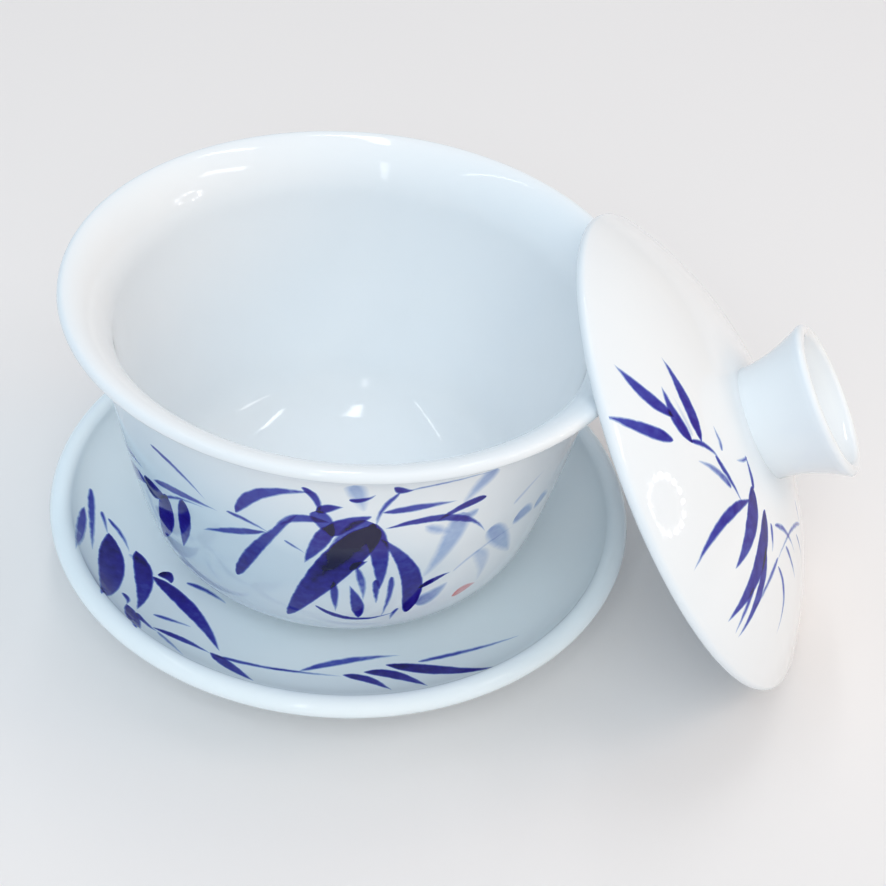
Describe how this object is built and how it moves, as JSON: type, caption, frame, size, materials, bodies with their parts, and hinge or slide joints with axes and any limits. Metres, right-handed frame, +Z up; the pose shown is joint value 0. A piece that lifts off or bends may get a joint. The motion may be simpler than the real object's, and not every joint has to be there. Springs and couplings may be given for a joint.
{
  "type": "gaiwan",
  "caption": "Porcelain gaiwan: deep tea bowl with a flared lip on a footed saucer, its domed lid with an open ring knob leaning on the bowl.",
  "frame": {"origin": "on the bowl's axis, at the centre of the saucer's foot ring, on the table", "axes": "+Z up along the bowl's axis, +X towards the side where the lid leans, +Y away from the viewer"},
  "size_m": [0.1433, 0.1066, 0.0725],
  "materials": {
    "glaze": "glossy clear glaze on white porcelain, painted under it in cobalt blue",
    "biscuit": "unglazed, fine and matt"
  },
  "bodies": {
    "saucer": {"saucer": "glaze", "saucer_foot_ring": "biscuit"},
    "bowl": {"bowl": "glaze", "bowl_foot_ring": "biscuit"},
    "lid": {"lid": "glaze", "lid_knob": "glaze"}
  },
  "joints": [
    {"name": "bowl_lift", "type": "slide", "parent": "saucer", "child": "bowl", "axis": [0, 0, 1], "range_m": [0, 0.07]},
    {"name": "lid_lift", "type": "slide", "parent": "bowl", "child": "lid", "axis": [0.8166, 0, 0.5772], "range_m": [0, 0.06]}
  ]
}
